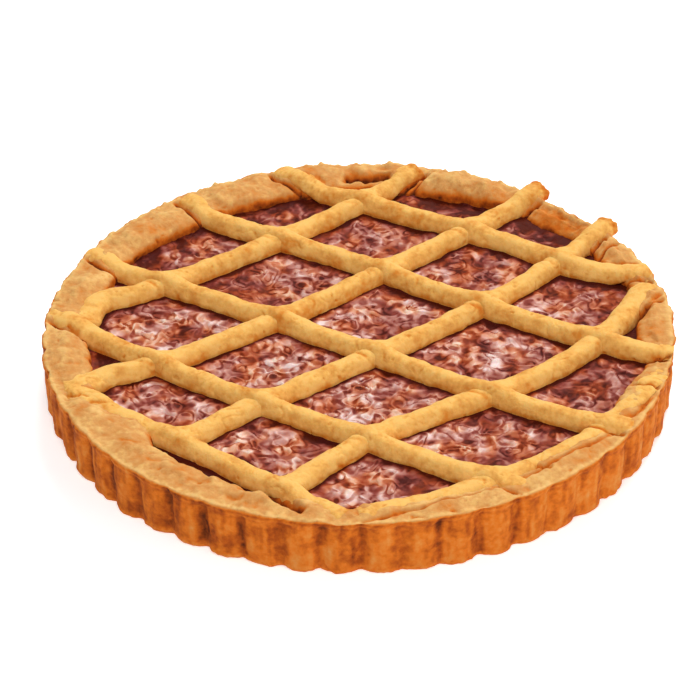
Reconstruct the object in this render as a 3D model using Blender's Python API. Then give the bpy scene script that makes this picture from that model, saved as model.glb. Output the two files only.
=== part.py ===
# Apricot crostata: a fluted shortcrust shell, an apricot jam filling and a lattice of ten
# dough strips, five laid first and five laid over them. Metres, +Z up. The origin is the
# centre of the flat underside, and clock angles turn from +X towards +Y.
import math

import bmesh
import bpy
from mathutils import Vector, noise

MM = 0.001

# Crust shell
RIM_RADIUS = 130.6 * MM
BASE_RADIUS = 128.6 * MM
CRUST_HEIGHT = 25.0 * MM
FLOOR_HEIGHT = 9.0 * MM
CROWN_RISE = 1.0 * MM
FLUTE_COUNT = 51
FLUTE_DEPTH = 2.2 * MM
FLUTE_START = math.radians(-90.3)
POINTS_PER_FLUTE = 4
# The hand-pressed rim is not equally wide all round: its width at every 30 degrees, in mm.
RIM_WIDTHS = (12.5, 14.0, 15.5, 20.0, 21.0, 18.5, 20.0, 21.0, 21.0, 16.0, 17.5, 16.0)
# The stretch of rim between two strip ends at the back right, which sank in the oven.
SUNKEN_AT = math.radians(45.0)
SUNKEN_REACH = math.radians(9.0)
SUNKEN_DEPTH = 2.4 * MM
SUNKEN_DRAWN_IN = 1.8 * MM
# How far the hand-made rim wanders in its height, at its inner edge and at its outline.
RIM_UNEVEN = 0.5 * MM
EDGE_UNEVEN = 0.8 * MM
OUTLINE_UNEVEN = 0.3 * MM
# The rounded corner under the side, and the rim's outer edge just below its crown.
FOOT_INSET = 0.6 * MM
FOOT_HEIGHT = 1.2 * MM
EDGE_HEIGHT = CRUST_HEIGHT - 1.8 * MM
WALL_SLOPE = 1.5 * MM

# Jam filling
JAM_LEVEL = 20.0 * MM
JAM_SWELL = 0.5 * MM
JAM_SWELL_SIZE = 30.0 * MM
JAM_EDGE_DROP = 0.6 * MM
JAM_RINGS = 7
JAM_COLUMNS = 56

# Lattice strips
LATTICE_RADIUS = 127.0 * MM
STRIP_WIDTH = 9.8 * MM
STRIP_THICKNESS = 5.0 * MM
CROSSING_RISE = 2.6 * MM
CROSSING_DIP = 1.6 * MM
CROSSING_REACH = 8.0 * MM
STRIP_UNEVEN = 0.12
STRIP_UNEVEN_SIZE = 22.0 * MM
# An end beyond this distance from the centre lies on the rim and presses it down.
ENDS_ON_RIM = 122.0 * MM
END_REACH = math.radians(4.0)
END_PRESS = 1.3 * MM
END_SPREAD = 1.2 * MM
SUNK_IN_RIM = 1.2 * MM
STATION_SPACING = 7.4 * MM
SECTION_POINTS = 7
# How wide and how high a strip is near its blunt end, at a distance from it.
END_SHAPE = ((0.0, 0.62, 0.45), (0.9 * MM, 0.84, 0.8), (2.8 * MM, 0.96, 0.97))

# What touches or is laid over its neighbour stays this far clear of it.
GAP = 0.3 * MM

# Each strip runs in a shallow curve between two points of the lattice circle, given by their
# clock angles. It bows and sways to the left of the straight line between them by these
# millimetres, covers this span of that line, and its ends stand this much above the rim.
STRIPS_UNDER = (
    dict(clock=(173.5, 78.2), bow=-6.6, sway=0.2, span=(0.06, 1.0), rise=(0.6, 2.6)),
    dict(clock=(-163.2, 54.0), bow=-9.6, sway=-1.6, span=(0.02, 1.035), rise=(1.2, 4.6)),
    dict(clock=(-136.7, 35.8), bow=-5.7, sway=3.0, span=(0.09, 1.035), rise=(0.8, 4.6)),
    dict(clock=(-109.1, 15.8), bow=-4.5, sway=9.2, span=(0.08, 0.985), rise=(0.8, 2.0)),
    dict(clock=(-97.1, -13.2), bow=-17.5, sway=1.1, span=(0.12, 0.99), rise=(0.8, 1.4)),
)
STRIPS_OVER = (
    dict(clock=(108.9, 17.8), bow=2.8, sway=0.9, span=(0.0, 1.0), rise=(2.4, 1.6)),
    dict(clock=(129.7, -7.8), bow=0.3, sway=2.3, span=(0.012, 1.0), rise=(2.4, 1.8)),
    dict(clock=(153.3, -33.3), bow=0.5, sway=1.8, span=(0.0, 1.0), rise=(2.2, 1.6)),
    dict(clock=(172.7, -58.4), bow=-4.5, sway=-1.2, span=(0.0, 0.97), rise=(2.0, 1.2)),
    dict(clock=(-165.8, -90.5), bow=-1.1, sway=-0.3, span=(0.06, 0.93), rise=(1.2, 0.8)),
)


def bump(distance, reach):
    """1 at no distance, falling smoothly to nothing over about twice the reach."""
    return math.exp(-((distance / reach) ** 2))


def smooth(low, high, value):
    """0 up to low, 1 from high on, with an even ramp between them."""
    share = min(1, max(0, (value - low) / (high - low)))
    return share * share * (3 - 2 * share)


def turn_between(a, b):
    """The angle between two directions round the pie, in radians."""
    return abs((a - b + math.pi) % math.tau - math.pi)


def strip_point(strip, share):
    """Where a strip's middle line is in plan, at a share of the line between its two clock angles."""
    start, end = (
        Vector((math.cos(angle), math.sin(angle))) * LATTICE_RADIUS
        for angle in map(math.radians, strip["clock"])
    )
    chord = end - start
    aside = Vector((-chord.y, chord.x)).normalized() * MM
    lean = strip["bow"] * 4 * share * (1 - share) + strip["sway"] * math.sin(math.tau * share)
    return start + chord * share + aside * lean


def strip_length(strip):
    return (strip_point(strip, strip["span"][1]) - strip_point(strip, strip["span"][0])).length


def strip_stations(strip):
    """Points along a strip, with the direction and the distance to the nearer end at each.

    They are evenly spaced, and closer together where the ends are rounded."""
    length = strip_length(strip)
    count = round(length / STATION_SPACING)
    places = [length * k / count for k in range(1, count)]
    near = [place for place, _, _ in END_SHAPE]
    places = near + places + [length - place for place in reversed(near)]
    first, last = strip["span"]
    stations = []
    for place in places:
        share = first + (last - first) * place / length
        ahead = strip_point(strip, share + 0.01) - strip_point(strip, share - 0.01)
        stations.append((strip_point(strip, share), ahead.normalized(), min(place, length - place)))
    return stations


def crossings(strip, others):
    """Where a strip meets the strips of the other layer, in plan."""
    own = [here for here, _, _ in strip_stations(strip)]
    found = []
    for other in others:
        theirs = [here for here, _, _ in strip_stations(other)]
        pairs = [((a - b).length, k, (a + b) / 2) for a in own for k, b in enumerate(theirs)]
        apart, _, where = min(pairs, key=lambda pair: pair[:2])
        if apart < STATION_SPACING:
            found.append(where)
    return found


def seats():
    """The clock angles at which strip ends lie on the rim."""
    found = []
    for strip in STRIPS_UNDER + STRIPS_OVER:
        for share in strip["span"]:
            end = strip_point(strip, share)
            if end.length > ENDS_ON_RIM:
                found.append(math.atan2(end.y, end.x))
    return found


SEATS = seats()


def seat(angle):
    """How much the rim gives way under the strip ends laid on it, from 0 to 1."""
    return min(1, sum(bump(turn_between(angle, end), END_REACH) for end in SEATS))


def wander(angle, waves, seed):
    """Hand-made unevenness round the rim: smooth, and the same again after a full turn."""
    return 1.6 * noise.noise(Vector((math.cos(angle) * waves, math.sin(angle) * waves, seed)))


def rim_height(angle):
    """Height of the rim's crown: pillows of dough between the strip ends."""
    sunken = SUNKEN_DEPTH * bump(turn_between(angle, SUNKEN_AT), SUNKEN_REACH)
    uneven = RIM_UNEVEN * wander(angle, 3.1, 4.0)
    return CRUST_HEIGHT + CROWN_RISE + uneven - sunken - END_PRESS * seat(angle)


def rim_inner_radius(angle):
    """The rim's inner edge, from the widths given round the clock."""
    place = (angle / math.tau % 1) * len(RIM_WIDTHS)
    before = int(place) % len(RIM_WIDTHS)
    after = (before + 1) % len(RIM_WIDTHS)
    share = smooth(0, 1, place - int(place))
    width = RIM_WIDTHS[before] + (RIM_WIDTHS[after] - RIM_WIDTHS[before]) * share
    pushed_out = EDGE_UNEVEN * wander(angle, 3.7, 9.0) + END_SPREAD * seat(angle)
    return RIM_RADIUS - width * MM + pushed_out


def rim_outer_radius(angle):
    drawn_in = SUNKEN_DRAWN_IN * bump(turn_between(angle, SUNKEN_AT), SUNKEN_REACH)
    return RIM_RADIUS - drawn_in - OUTLINE_UNEVEN * abs(wander(angle, 1.4, 2.0))


def valley_depth(angle):
    """How far the side is drawn in: deep in the narrow valley between two broad flutes."""
    share = ((angle - FLUTE_START) * FLUTE_COUNT / math.tau) % 1
    return FLUTE_DEPTH * (1 - math.sin(math.pi * share) ** 0.6)


def crust_section(angle, grow):
    """The shell's outline at one angle, from the underside over the rim to the floor.

    Each pair is a distance from the centre and a height. grow swells the dough all round, for
    cutting a clear gap into the strips that lie on it."""
    outer = rim_outer_radius(angle) + grow
    inner = rim_inner_radius(angle) - grow
    top = rim_height(angle) + grow
    valley = valley_depth(angle)
    base = BASE_RADIUS + grow - valley
    return (
        (base - FOOT_INSET, -grow),
        (base, FOOT_HEIGHT - grow),
        (outer - valley - 0.2 * MM, EDGE_HEIGHT),
        (outer - valley * 0.5 - 0.7 * MM, CRUST_HEIGHT - 0.3 * MM + grow),
        (outer - 4.0 * MM, top - 0.3 * MM),
        ((outer + inner) / 2, top),
        (inner + 2.2 * MM, top - 1.6 * MM),
        (inner, JAM_LEVEL + 1.0 * MM),
        (inner - WALL_SLOPE, FLOOR_HEIGHT + grow),
    )


def round_point(angle, radius, height):
    return Vector((math.cos(angle) * radius, math.sin(angle) * radius, height))


def extruded_ring(bm, ring, points):
    """Extrudes a closed ring of vertices and moves the copy onto the points."""
    edges = [bm.edges.get(pair) for pair in zip(ring, ring[1:] + ring[:1])]
    made = bmesh.ops.extrude_edge_only(bm, edges=edges)["geom"]
    fresh = {item for item in made if isinstance(item, bmesh.types.BMVert)}
    copy = []
    for vertex, point in zip(ring, points):
        twin = next(e.other_vert(vertex) for e in vertex.link_edges if e.other_vert(vertex) in fresh)
        twin.co = point
        copy.append(twin)
    return copy


def lofted(name, rings, material):
    """A closed solid skinned over rings of points, with both ends capped."""
    bm = bmesh.new()
    ring = bmesh.ops.create_circle(bm, cap_ends=False, segments=len(rings[0]), radius=1)["verts"]
    for vertex, point in zip(ring, rings[0]):
        vertex.co = point
    bm.faces.new(ring)
    for points in rings[1:]:
        ring = extruded_ring(bm, ring, points)
    bm.faces.new(ring)
    bmesh.ops.recalc_face_normals(bm, faces=bm.faces)
    # The swollen cutters are split the same way as what they stand for, so the gap stays even.
    bmesh.ops.triangulate(bm, faces=bm.faces, quad_method="FIXED", ngon_method="EAR_CLIP")
    mesh = bpy.data.meshes.new(name)
    bm.to_mesh(mesh)
    bm.free()
    mesh.materials.append(material)
    mesh.shade_smooth()
    mesh.set_sharp_from_angle(angle=math.radians(50))
    made = bpy.data.objects.new(name, mesh)
    bpy.context.collection.objects.link(made)
    return made


def crust_solid(name, material, grow=0.0):
    count = FLUTE_COUNT * POINTS_PER_FLUTE
    angles = [FLUTE_START + math.tau * k / count for k in range(count)]
    sections = [crust_section(angle, grow) for angle in angles]
    rings = []
    for level in range(len(sections[0])):
        rings.append([round_point(angle, *section[level]) for angle, section in zip(angles, sections)])
    return lofted(name, rings, material)


def jam_height(point):
    """The jam's surface, which stays below the strips that lie on it."""
    swell = noise.noise(Vector((point.x, point.y, 7.0)) / JAM_SWELL_SIZE)
    return JAM_LEVEL + JAM_SWELL * max(-1, min(1, 1.8 * swell))


def jam_solid(name, material):
    """The jam fills the shell from wall to wall, up to its level."""
    angles = [math.tau * k / JAM_COLUMNS for k in range(JAM_COLUMNS)]
    step = math.tau / JAM_COLUMNS / 2
    edge = [min(map(rim_inner_radius, (angle - step, angle, angle + step))) for angle in angles]
    foot = [radius - WALL_SLOPE - GAP for radius in edge]
    wall = [radius - GAP for radius in edge]
    rings = [
        [round_point(angle, radius, FLOOR_HEIGHT + GAP) for angle, radius in zip(angles, foot)],
        [round_point(angle, radius, JAM_LEVEL - JAM_EDGE_DROP) for angle, radius in zip(angles, wall)],
    ]
    for k in range(JAM_RINGS):
        share = 1 - k / JAM_RINGS
        ring = [round_point(angle, radius * share - 0.3 * MM, 0) for angle, radius in zip(angles, wall)]
        for point in ring:
            point.z = jam_height(point)
        rings.append(ring)
    return lofted(name, rings, material)


def strip_heights(strip, place, crossed, over):
    """The height of a strip's underside and of its ridge at a point of its middle line.

    It lies level on the jam and climbs onto the rim. Where two strips cross, the one below is
    pressed down and the one above is lifted over it."""
    angle = math.atan2(place.y, place.x)
    inner = rim_inner_radius(angle)
    on_rim = smooth(inner - 3 * MM, inner + 6 * MM, place.length)
    ends = [strip_point(strip, share) for share in strip["span"]]
    nearer = min((0, 1), key=lambda end: (place - ends[end]).length)
    rim_top = rim_height(angle) + strip["rise"][nearer] * MM
    underside = JAM_LEVEL + JAM_SWELL + GAP
    ridge = underside + STRIP_THICKNESS
    near = max((bump((place - where).length, CROSSING_REACH) for where in crossed), default=0)
    lift = CROSSING_RISE * near if over else -CROSSING_DIP * near * near
    low = underside + (rim_height(angle) - SUNK_IN_RIM - underside) * on_rim
    high = ridge + (rim_top - ridge) * on_rim + lift * (1 - 0.6 * on_rim)
    return low, high


def end_shape(distance):
    """The share of its width and height that a strip has at a distance from its nearer end."""
    for (near, wide, tall), (far, wide_after, tall_after) in zip(END_SHAPE, END_SHAPE[1:]):
        if distance < far:
            share = (distance - near) / (far - near)
            return wide + (wide_after - wide) * share, tall + (tall_after - tall) * share
    return 1.0, 1.0


def strip_solid(name, strip, others, over, material, grow=0.0):
    """A strip of dough with a flat underside, a rounded back and blunt ends."""
    crossed = crossings(strip, others)
    stations = strip_stations(strip)
    rings = []
    for k, (place, ahead, from_end) in enumerate(stations):
        low, high = strip_heights(strip, place, crossed, over)
        wide, tall = end_shape(from_end)
        spot = Vector((place.x, place.y, 3.0)) / STRIP_UNEVEN_SIZE
        uneven = 1 + STRIP_UNEVEN * noise.noise(spot)
        half = STRIP_WIDTH / 2 * wide * uneven + grow
        back = (high - low) * tall + 2 * grow
        outward = {0: -grow, len(stations) - 1: grow}.get(k, 0)
        aside = Vector((-ahead.y, ahead.x))
        ring = []
        for j in range(SECTION_POINTS):
            turn = math.pi * j / (SECTION_POINTS - 1)
            across = math.copysign(abs(math.cos(turn)) ** 0.8, math.cos(turn))
            spot = place + ahead * outward + aside * half * across
            ring.append(Vector((spot.x, spot.y, low - grow + back * math.sin(turn) ** 0.75)))
        rings.append(ring)
    return lofted(name, rings, material)


def cut_away(piece, cutters):
    """Cuts the cutters from a piece, so that it lies against them with a clear gap."""
    for cutter in cutters:
        cutter.hide_render = True
        cutter.display_type = "WIRE"
        cut = piece.modifiers.new("clear_of_" + cutter.name, "BOOLEAN")
        cut.operation = "DIFFERENCE"
        cut.solver = "EXACT"
        cut.object = cutter


def from_srgb(code):
    """A hex colour as the linear values that a shader takes."""
    parts = [int(code[k : k + 2], 16) / 255 for k in (0, 2, 4)]
    return [c / 12.92 if c <= 0.04045 else ((c + 0.055) / 1.055) ** 2.4 for c in parts] + [1.0]


def finish(name, code, roughness):
    material = bpy.data.materials.new(name)
    material.use_nodes = True
    shader = material.node_tree.nodes["Principled BSDF"]
    shader.inputs["Base Color"].default_value = from_srgb(code)
    shader.inputs["Roughness"].default_value = roughness
    shader.inputs["Metallic"].default_value = 0.0
    return material


def main():
    for thing in list(bpy.data.objects):
        bpy.data.objects.remove(thing)
    baked_shell = finish("baked_shortcrust", "D08A42", 0.75)
    baked_strip = finish("baked_lattice", "DFA553", 0.72)
    jam = finish("apricot_jam", "85291C", 0.18)

    crust_solid("crust_shell", baked_shell)
    jam_solid("jam_filling", jam)
    swollen_crust = crust_solid("swollen_crust", baked_shell, GAP)
    swollen_under = []
    for k, strip in enumerate(STRIPS_UNDER, 1):
        piece = strip_solid(f"lattice_under_{k}", strip, STRIPS_OVER, False, baked_strip)
        cut_away(piece, [swollen_crust])
        swollen = strip_solid(f"swollen_under_{k}", strip, STRIPS_OVER, False, baked_strip, GAP)
        swollen_under.append(swollen)
    for k, strip in enumerate(STRIPS_OVER, 1):
        piece = strip_solid(f"lattice_over_{k}", strip, STRIPS_UNDER, True, baked_strip)
        cut_away(piece, [swollen_crust, *swollen_under])


main()
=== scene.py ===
import math

import bmesh
import bpy
from mathutils import Matrix, Vector, noise
from mathutils.kdtree import KDTree


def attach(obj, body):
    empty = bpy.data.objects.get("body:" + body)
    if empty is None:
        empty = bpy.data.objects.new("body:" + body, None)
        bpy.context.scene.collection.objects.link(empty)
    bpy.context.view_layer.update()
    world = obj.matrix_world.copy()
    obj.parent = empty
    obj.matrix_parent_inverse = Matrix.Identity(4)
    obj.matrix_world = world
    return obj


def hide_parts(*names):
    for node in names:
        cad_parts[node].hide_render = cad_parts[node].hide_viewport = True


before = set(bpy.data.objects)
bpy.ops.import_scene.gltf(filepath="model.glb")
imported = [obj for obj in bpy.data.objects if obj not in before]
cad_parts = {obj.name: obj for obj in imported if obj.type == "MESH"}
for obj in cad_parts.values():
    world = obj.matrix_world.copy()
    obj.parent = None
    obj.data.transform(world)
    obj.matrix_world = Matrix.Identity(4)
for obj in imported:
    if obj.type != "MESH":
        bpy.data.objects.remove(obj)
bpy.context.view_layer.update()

# Looks of an apricot crostata. Shapes are worked out in millimetres and scaled to metres at the end.
mm = 0.001

# the baked shell, as the solids have it
shell = dict(
    radius=130.2, rimRadius=130.6, baseRadius=128.6, height=25.0, crown=1.0,
    # how wide the rim is, measured in from rimRadius at even steps round it
    rimWidths=(12.5, 14.0, 15.5, 20.0, 21.0, 18.5, 20.0, 21.0, 21.0, 16.0, 17.5, 16.0),
    # where the rim differs: clock angle, reach in degrees and by how much
    raised=((93.0, 16.0, 0.6), (45.0, 9.0, -2.9)),
    reachesIn=((-125.0, 10.0, -1.2), (1.0, 6.0, 3.2), (-145.0, 5.5, 6.5)),
    drawnIn=((45.0, 9.0, 1.8), (11.0, 11.0, -1.5), (178.0, 12.0, -0.5)),
    browned=((45.0, 8.0, 0.28),),
    seatReach=4.0, seatDepth=1.3, seatCut=1.2,  # the seat that a strip's end presses into the rim
    flutes=51, fluteStart=-90.3, fluteDepth=2.2, columnsPerFlute=22,
    # bands along the section, counted in its corners: where each starts, is full, fades and is gone
    sideBand=(3.0, 3.6, 7.4, 8.2), topBand=(8.2, 10.0, 13.8, 15.2), crumbBand=(7.8, 9.2, 11.0, 13.0),
    reliefFrom=2.2, reliefTo=15.8, lipAt=8.3,
    # unevenness and browning as layers of lumps: how much, how wide in mm, and a seed
    uneven=((0.55, 13, 3), (0.45, 6.5, 5), (0.36, 3.2, 8), (0.18, 1.8, 2)),
    lip=((0.45, 3.6, 15), (0.35, 1.9, 16)), patches=((0.12, 11, 17), (0.08, 4.2, 23)),
    sidePatches=((0.10, 7, 11),), backLumps=((0.8, 7.5, 19),),
    creaseDepth=3.8, crumbHeight=1.5, streakHeight=0.24, pitDepth=0.5,
    # how dark it is made, from 0 for pale to 1 for nearly burnt: browning with painted shade, and what places
    # add
    browningAndShade=dict(
        # valley, left, underLip, innerBack, back and pit are painted shade, crease is browning and painted
        # shade, lip a painted highlight
        top=0.25, side=0.62, lip=-0.2, underLip=0.09, innerFace=0.5, innerBack=0.05,
        crease=0.72, pit=0.1, back=0.02, right=0.05,  # on top
        valley=0.13, streak=0.12, left=0.06, highSpots=0.05,  # on the side
    ),
)
jam = dict(
    level=20.0, swell=0.5, reach=3.0, cells=300, hiddenLevel=16.0,
    ribbonHeight=1.0, ribbonFoot=0.3,  # the ribbons stand this high, from this far under the level
    # corners painted dark as shadowed pockets, their pulp thinned too: place and reach
    shadowedSpots=((-103.5, -11.2, 9), (114.4, 6.5, 7), (79.0, 88.7, 9)),
    folds=((0.8, 8.5, 55), (0.8, 4.4, 57), (0.1, 2.8, 58)),
    # how much pulp lies where scarce and plentiful, broken and whole, beside a strip and in the open
    # beside a strip the pulp is cut back as a painted contact shadow
    plenty=(0.4, 0.95), whole=(0.4, 1.0), open=(0.2, 1.0),
    # how far a strip's or the rim's painted shadow reaches, how much the pulp thins in it, and painted
    # darkening
    shadowReach=dict(over=7.0, under=4.0, seam=8.0, rim=14.0), thinned=0.65,
    # painted shade towards the back and right and in the shadows of strips and rim, and darker towards the
    # front
    darker=dict(back=0.10, right=0.12, front=0.06, shadowed=0.17),
)
lattice = dict(
    radius=127.0, width=9.7, thickness=5.0, crossingRise=2.1, crossingDip=0.5, crossingReach=8.0,
    crossingGap=6.0, spreadReach=22.0, seatedFrom=122.0,
    sunkInJam=2.2, sunkInRim=2.5,  # how deep the underside is pressed in
    # by kind of end: how far it stands over the rim at its tip, up to what radius it follows the rim and how
    # far inside the rim's edge it stays
    tipRise=dict(flush=0.9, pressed=0.3), restsTo=dict(cut=126.5, flush=126.5, pressed=129.0),
    insideEdge=dict(flush=0.1, pressed=0.7), underLip=4.0,
    creaseDepth=(0.5, 2.8),  # over the jam and on the rim
    spacing=0.6, around=44, topShare=0.74,  # of the mesh: its cells' length and number, and the back's share
    relief=((0.30, 9.0, 31), (0.20, 4.2, 33), (0.10, 1.8, 35)), torn=((0.6, 3.4, 36), (0.45, 2.0, 38)),
    patches=((0.14, 9, 43), (0.11, 4, 44)),
    # how dark each place of a strip is made: browning, with side, underside and back as painted shade, crease
    # and marks partly so
    browningAndShade=dict(
        top=0.08, side=0.06, underside=0.2, crease=(0.36, 0.86), marks=0.8, crossing=0.15, back=0.08,
        # jamLine is partly the jam's stain and partly a painted contact shadow
        jamLine=0.16,  # where the hot jam touched it
        tip=dict(cut=0.42, flush=0.1, pressed=0.15),
    ),
)

# Each strip curves between two clock angles of the lattice circle. It bows and sways to its left by these
# millimetres, covers this span and then reaches on, and its two ends stand this much over the rim. Of the
# ends, a cut one stands free, a flush one ends with the rim's edge and a pressed one runs out on the rim.
# bends are (along, reach, aside), and spread is how much wider the two ends were pressed. seam says how far
# from the two ends the crease beside a strip opens, how shut and wide it is before and after that, and how
# far the rim slumps into it.
strips = [
    dict(name="under_1", clock=(173.5, 78.2), bow=-6.6, sway=0.2, span=(0.06, 1.0), rise=(1.4, 2.6),
         reach=(4.0, 0.5), ends=("pressed", "cut"), bends=((14, 8, 3.2), (-3, 7, -7.0)), spread=(0.30, 0.0)),
    dict(name="under_2", clock=(-163.2, 54.0), bow=-9.6, sway=-1.6, span=(0.02, 1.035), rise=(1.4, 4.1),
         reach=(3.0, -0.6), ends=("pressed", "cut"), bends=((19, 9, 2.6),), spread=(0.40, 0.12)),
    dict(name="under_3", clock=(-136.7, 35.8), bow=-5.7, sway=3.0, span=(0.09, 1.035), rise=(0.8, 3.9),
         reach=(0.0, -0.6), ends=("pressed", "cut"), bends=(), spread=(0.10, 0.0)),
    dict(name="under_4", clock=(-109.1, 15.8), bow=-4.5, sway=9.2, span=(0.08, 0.985), rise=(0.8, 2.0),
         reach=(0.0, 4.0), ends=("pressed", "pressed"), bends=(), spread=(0.10, 0.38)),
    dict(name="under_5", clock=(-97.1, -13.2), bow=-17.5, sway=1.1, span=(0.12, 0.99), rise=(0.8, 1.4),
         reach=(6.0, 2.0), ends=("pressed", "pressed"), bends=(), spread=(0.10, 0.10),
         seam=dict(starts=0, stops=0, shut=(0.75, 0.75), wide=(1.1, 1.1), slump=0.0)),
    dict(name="over_1", clock=(108.9, 17.8), bow=2.8, sway=0.9, span=(0.0, 1.0), rise=(2.2, 1.6),
         reach=(-4.0, 5.0), ends=("flush", "pressed"), spread=(0.10, 0.22),
         bends=((-6, 20, 11.0), (148, 15, -3.6), (184, 12, 5.0))),
    dict(name="over_2", clock=(129.7, -7.8), bow=0.3, sway=2.3, span=(0.012, 1.0), rise=(2.2, 1.8),
         reach=(0.5, 4.0), ends=("flush", "pressed"), spread=(0.10, 0.15),
         bends=((-4, 16, 9.0), (240, 16, 3.0))),
    dict(name="over_3", clock=(153.3, -33.3), bow=0.5, sway=1.8, span=(0.0, 1.0), rise=(2.0, 1.6),
         reach=(3.2, 2.0), ends=("flush", "pressed"), spread=(0.10, 0.15),
         bends=((-4, 14, 4.5), (252, 16, 3.6))),
    dict(name="over_4", clock=(172.7, -58.4), bow=-4.5, sway=-1.2, span=(0.0, 0.97), rise=(1.8, 1.2),
         reach=(3.0, 3.0), ends=("pressed", "pressed"), bends=((218, 14, 2.0),), spread=(0.10, 0.10)),
    dict(name="over_5", clock=(-165.8, -90.5), bow=-1.1, sway=-0.3, span=(0.06, 0.93), rise=(0.9, 0.8),
         reach=(2.0, 4.0), ends=("pressed", "pressed"), bends=((72, 42, 1.8),), spread=(0.10, 0.0),
         seam=dict(starts=50, stops=19, shut=(1.25, 0.0), wide=(1.0, 2.8), slump=1.8)),
]
for strip in strips:
    strip["over"] = strip["name"].startswith("over")


def bump(distance, reach):
    return math.exp(-((distance / reach) ** 2))


def clamp(value):
    return min(1.0, max(0.0, value))


def smooth(low, high, value):
    share = clamp((value - low) / (high - low))
    return share * share * (3 - 2 * share)


def band(starts, full, fades, gone, value):
    return smooth(starts, full, value) * (1 - smooth(fades, gone, value))


def mix(a, b, share):
    return a + (b - a) * share


def lumps(point, size, seed=0.0):
    # smooth unevenness from -1 to 1, with lumps of this size in millimetres
    return 1.5 * noise.noise(Vector(point) / size + Vector((seed, seed * 0.7, -seed)))


def layered(point, layers):
    return sum(amount * lumps(point, size, seed) for amount, size, seed in layers)


def turnBetween(a, b):
    # the angle between two directions
    return abs((a - b + math.pi) % math.tau - math.pi)


def atClock(angle, radius):
    # a place in plan, from an angle in degrees and a radius
    return Vector((math.cos(math.radians(angle)), math.sin(math.radians(angle)))) * radius


def stripPoint(strip, share):
    # a point of the middle line, at a share of the way between the clock angles
    start, end = (atClock(angle, lattice["radius"]) for angle in strip["clock"])
    chord = end - start
    aside = Vector((-chord.y, chord.x)).normalized()
    lean = strip["bow"] * 4 * share * (1 - share) + strip["sway"] * math.sin(math.tau * share)
    return start + chord * share + aside * lean


def layTrack(strip):
    # points along the strip's middle line, with the length run so far
    start, end = (stripPoint(strip, share) for share in strip["span"])
    size = (end - start).length / (strip["span"][1] - strip["span"][0])
    first = strip["span"][0] - strip["reach"][0] / size
    last = strip["span"][1] + strip["reach"][1] / size
    aside = Vector((start.y - end.y, end.x - start.x)).normalized()
    steps = 420
    points = []
    for k in range(steps + 1):
        share = first + (last - first) * k / steps
        along = (share - strip["span"][0]) * size
        bend = sum(amount * bump(along - at, reach) for at, reach, amount in strip["bends"])
        points.append(stripPoint(strip, share) + aside * bend)
    run = [0.0]
    for a, b in zip(points, points[1:]):
        run.append(run[-1] + (b - a).length)
    tree = KDTree(len(points))
    for k, point in enumerate(points):
        tree.insert((point.x, point.y, 0), k)
    tree.balance()
    return dict(points=points, run=run, length=run[-1], tree=tree)


def trackAt(track, length):
    # place and direction at a length along the track, and past its ends in a straight line
    run, points = track["run"], track["points"]
    last = len(points) - 1
    k = min(last - 1, max(0, round(length / track["length"] * last)))
    while k > 0 and run[k] > length:
        k -= 1
    while k < last - 1 and run[k + 1] < length:
        k += 1
    ahead = (points[k + 1] - points[k]).normalized()
    heading = (points[min(last, k + 4)] - points[max(0, k - 3)]).normalized()
    return points[k] + ahead * (length - run[k]), heading


def offTrack(track, point):
    # how far from the strip's middle line a point in plan lies
    return track["tree"].find((point[0], point[1], 0))[2]


def besideTrack(track, point):
    # how far along the strip and how far to its left a point in plan lies, and the nearest track point
    points = track["points"]
    k = track["tree"].find((point[0], point[1], 0))[1]
    ahead = (points[min(len(points) - 1, k + 2)] - points[max(0, k - 2)]).normalized()
    offset = Vector((point[0], point[1])) - points[k]
    return track["run"][k] + offset.dot(ahead), -offset.x * ahead.y + offset.y * ahead.x, k


for strip in strips:
    strip["track"] = layTrack(strip)


def halfWidth(strip, along):
    # half the strip's width, more where its ends were pressed out on the rim
    before, after = strip["spread"]
    reach = lattice["spreadReach"]
    wider = before * bump(along, reach) + after * bump(strip["track"]["length"] - along, reach)
    return lattice["width"] / 2 * (1 + wider)


def findCrossings(strip):
    # how far along the strip the others cross it
    found = []
    for other in strips:
        if other["over"] != strip["over"]:
            points = strip["track"]["points"]
            apart, k = min((offTrack(other["track"], point), k) for k, point in enumerate(points))
            if apart < lattice["crossingGap"]:
                found.append(strip["track"]["run"][k])
    return found


for strip in strips:
    strip["crossings"] = findCrossings(strip)
print("strips laid out:", ", ".join(f"{s['name']} {s['track']['length']:.0f} mm" for s in strips))


# where the strips' ends were pressed onto the rim
tips = [strip["track"]["points"][end] for strip in strips for end in (0, -1)]
seats = [math.atan2(tip.y, tip.x) for tip in tips if tip.length > lattice["seatedFrom"]]


def seat(angle):
    # 1 where a strip's end was pressed onto the rim
    return min(1.0, sum(bump(turnBetween(angle, tip), math.radians(shell["seatReach"])) for tip in seats))


def wander(angle, waves, seed):
    # slow unevenness round the rim, from about -1 to 1
    return 1.6 * noise.noise(Vector((math.cos(angle) * waves, math.sin(angle) * waves, seed)))


def byAngle(angle, places):
    # what a list of places round the rim comes to at this angle
    return sum(
        size * bump(turnBetween(angle, math.radians(at)), math.radians(reach)) for at, reach, size in places
    )


def rimHeight(angle):
    even = shell["height"] + shell["crown"] + byAngle(angle, shell["raised"])
    return even + 0.5 * wander(angle, 3.1, 4.0) - shell["seatDepth"] * seat(angle)


def rimInner(angle):
    widths = shell["rimWidths"]
    place = (angle / math.tau % 1) * len(widths)
    before = int(place) % len(widths)
    width = mix(widths[before], widths[(before + 1) % len(widths)], smooth(0, 1, place - int(place)))
    torn = 0.6 * lumps((110 * math.cos(angle), 110 * math.sin(angle), 0.0), 6, 67)
    edge = shell["rimRadius"] - width - byAngle(angle, shell["reachesIn"])
    return edge + 0.8 * wander(angle, 3.7, 9.0) + torn + shell["seatCut"] * seat(angle)


def rimOuter(angle):
    return shell["radius"] - byAngle(angle, shell["drawnIn"]) - 0.3 * abs(wander(angle, 1.4, 2.0))


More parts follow.
